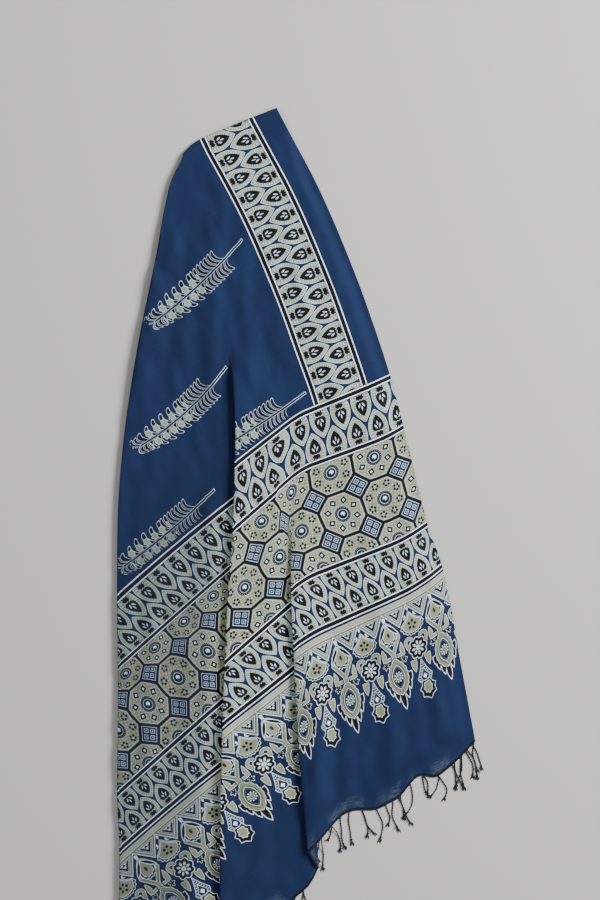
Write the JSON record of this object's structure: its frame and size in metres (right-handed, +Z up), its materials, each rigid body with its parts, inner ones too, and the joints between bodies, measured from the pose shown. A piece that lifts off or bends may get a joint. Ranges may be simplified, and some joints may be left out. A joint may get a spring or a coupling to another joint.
{
  "type": "ajrakh block-printed cotton stole",
  "caption": "Block-printed cotton stole with a twisted fringe, folded over at its top edge and laid flat with its printed end spread in pleats.",
  "frame": {"origin": "centre of the bounding box's bottom face, on the surface that the cloth lies on", "axes": "+Y along the cloth, from the fringed hem towards the crosswise fold; +X to the right as the printed face is seen; +Z up, out of the printed face"},
  "size_m": [0.4696, 1.3366, 0.0162],
  "materials": {
    "printed_cotton": "matte plain-weave cotton, indigo dyed, block printed in cream, white and black",
    "fringe_yarn": "matte twisted cotton yarn, near-black indigo"
  },
  "bodies": {
    "root": {"cloth": "printed_cotton", "fringe": "fringe_yarn"}
  },
  "joints": []
}
